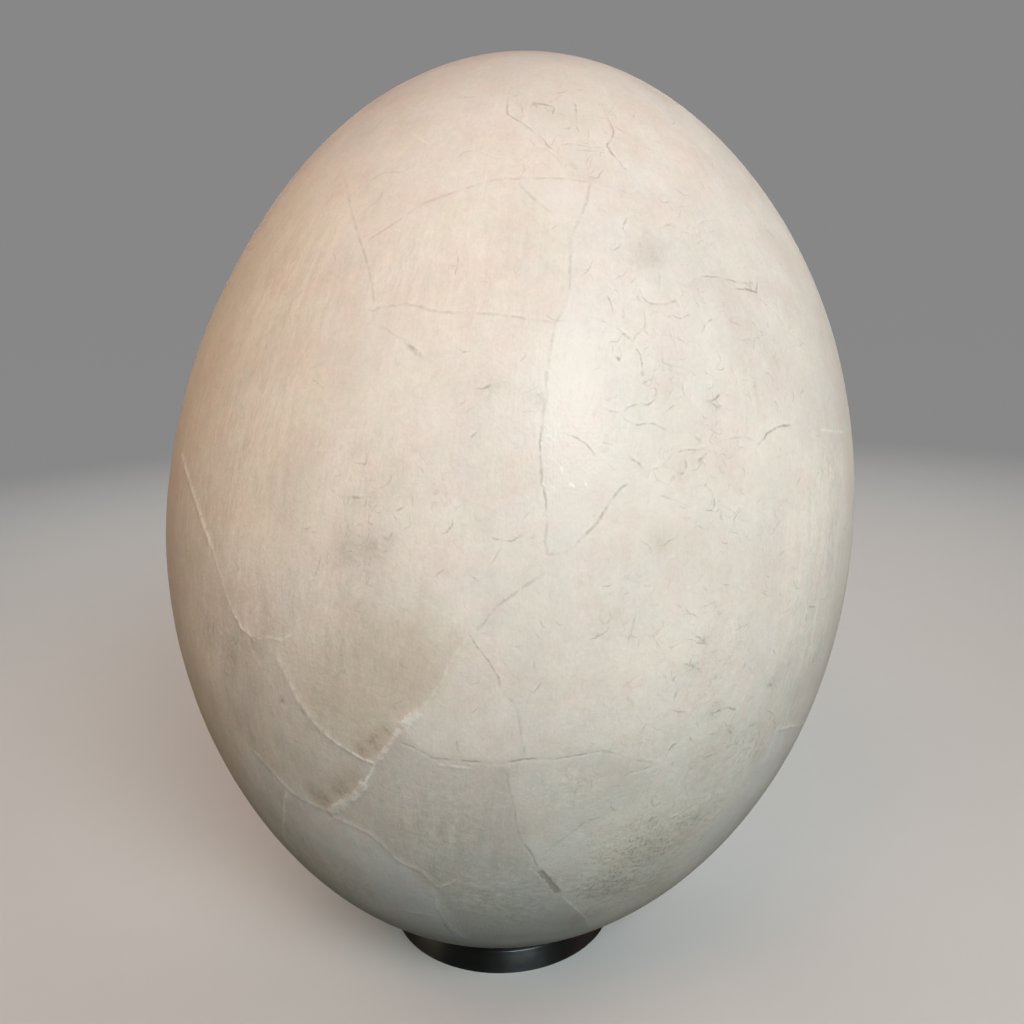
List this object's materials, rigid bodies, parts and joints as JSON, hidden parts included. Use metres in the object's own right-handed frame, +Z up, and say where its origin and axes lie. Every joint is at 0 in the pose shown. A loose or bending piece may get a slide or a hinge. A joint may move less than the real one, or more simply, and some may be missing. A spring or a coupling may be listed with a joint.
{
  "type": "elephant bird egg on a ring stand",
  "caption": "Very large mended bird egg with raised and open seams between its shell fragments, standing upright with a slight lean in a low turned metal ring.",
  "frame": {"origin": "on the surface that the ring stands on, below the middle of the egg", "axes": "+Z up along the egg's height, +X to the side that the egg leans towards, the side with the gouge and the slash faces -Y"},
  "size_m": [0.2343, 0.2326, 0.3104],
  "materials": {
    "shell": "dry eggshell with a faint gloss, mottled cream and ivory",
    "ring_metal": "satin turned metal"
  },
  "bodies": {
    "root": {"egg": "shell", "ring_stand": "ring_metal"}
  },
  "joints": []
}
